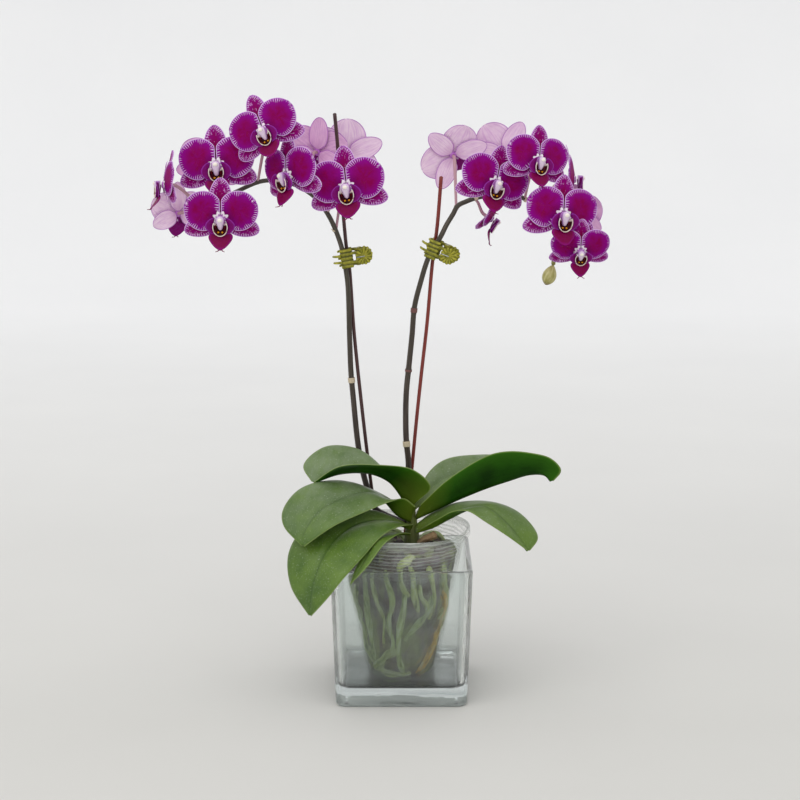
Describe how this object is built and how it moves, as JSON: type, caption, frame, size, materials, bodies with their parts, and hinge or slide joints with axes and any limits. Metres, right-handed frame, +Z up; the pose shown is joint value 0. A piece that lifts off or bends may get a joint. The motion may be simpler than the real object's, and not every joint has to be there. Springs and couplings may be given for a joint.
{
  "type": "moth orchid in vase",
  "caption": "Moth orchid with arching flower spikes held to stakes by spring clips, in a clear nursery pot standing in a square glass vase.",
  "frame": {"origin": "centre of the vase's underside", "axes": "+Z up, -Y towards the side that the flowers face, +X to the right seen from the front"},
  "size_m": [0.3856, 0.1474, 0.5121],
  "materials": {
    "vase_glass": "polished",
    "pot_plastic": "satin",
    "bark": "matte",
    "root": "matte",
    "leaf": "satin",
    "young_leaf": "satin",
    "spike": "satin",
    "stake_left": "satin",
    "stake_right": "satin",
    "petals": "satin",
    "flower_lip": "satin",
    "bud": "satin",
    "clip_plastic": "gloss",
    "clip_spring_steel": "satin"
  },
  "bodies": {
    "plant_and_vase": {"vase": "vase_glass", "pot": "pot_plastic", "potting_medium": "bark", "crown_and_roots": "root", "leaf_upper_left": "leaf", "leaf_middle_left": "leaf", "leaf_lower_left": "leaf", "leaf_small_lower_left": "young_leaf", "leaf_upper_right": "leaf", "leaf_back_right": "leaf", "leaf_lower_right": "leaf", "stake_left": "stake_left", "stake_right": "stake_right", "spike_left": "spike", "spike_right": "spike", "bloom_left_1": "petals", "bloom_left_1_lip": "flower_lip", "bloom_left_2": "petals", "bloom_left_2_lip": "flower_lip", "bloom_left_3": "petals", "bloom_left_3_lip": "flower_lip", "bloom_left_4": "petals", "bloom_left_4_lip": "flower_lip", "bloom_left_5": "petals", "bloom_left_5_lip": "flower_lip", "bloom_left_6": "petals", "bloom_left_6_lip": "flower_lip", "bloom_left_7": "petals", "bloom_left_7_lip": "flower_lip", "bloom_left_8": "petals", "bloom_left_8_lip": "flower_lip", "bloom_left_9": "petals", "bloom_left_9_lip": "flower_lip", "bloom_left_10": "petals", "bloom_left_10_lip": "flower_lip", "bloom_right_1": "petals", "bloom_right_1_lip": "flower_lip", "bloom_right_2": "petals", "bloom_right_2_lip": "flower_lip", "bloom_right_3": "petals", "bloom_right_3_lip": "flower_lip", "bloom_right_4": "petals", "bloom_right_4_lip": "flower_lip", "bloom_right_5": "petals", "bloom_right_5_lip": "flower_lip", "bloom_right_6": "petals", "bloom_right_6_lip": "flower_lip", "bloom_right_7": "petals", "bloom_right_7_lip": "flower_lip", "bloom_right_8": "petals", "bloom_right_8_lip": "flower_lip", "bloom_right_9": "petals", "bloom_right_9_lip": "flower_lip", "bud": "bud", "clip_left_back": "clip_plastic", "clip_left_pin": "clip_spring_steel", "clip_right_back": "clip_plastic", "clip_right_pin": "clip_spring_steel"},
    "clip_left_jaw": {"clip_left_jaw": "clip_plastic"},
    "clip_right_jaw": {"clip_right_jaw": "clip_plastic"}
  },
  "joints": [
    {"name": "clip_left_hinge", "type": "hinge", "parent": "plant_and_vase", "child": "clip_left_jaw", "pos_m": [-0.0368, 0.0034, 0.3775], "axis": [-0.1564, 0, 0.9877], "range_deg": [0, 25], "stiffness_Nm_per_rad": 0.01, "springref_deg": -17.19},
    {"name": "clip_right_hinge", "type": "hinge", "parent": "plant_and_vase", "child": "clip_right_jaw", "pos_m": [0.0358, 0.0009, 0.3805], "axis": [0.3304, -0.0885, 0.9397], "range_deg": [0, 25], "stiffness_Nm_per_rad": 0.01, "springref_deg": -17.19}
  ]
}
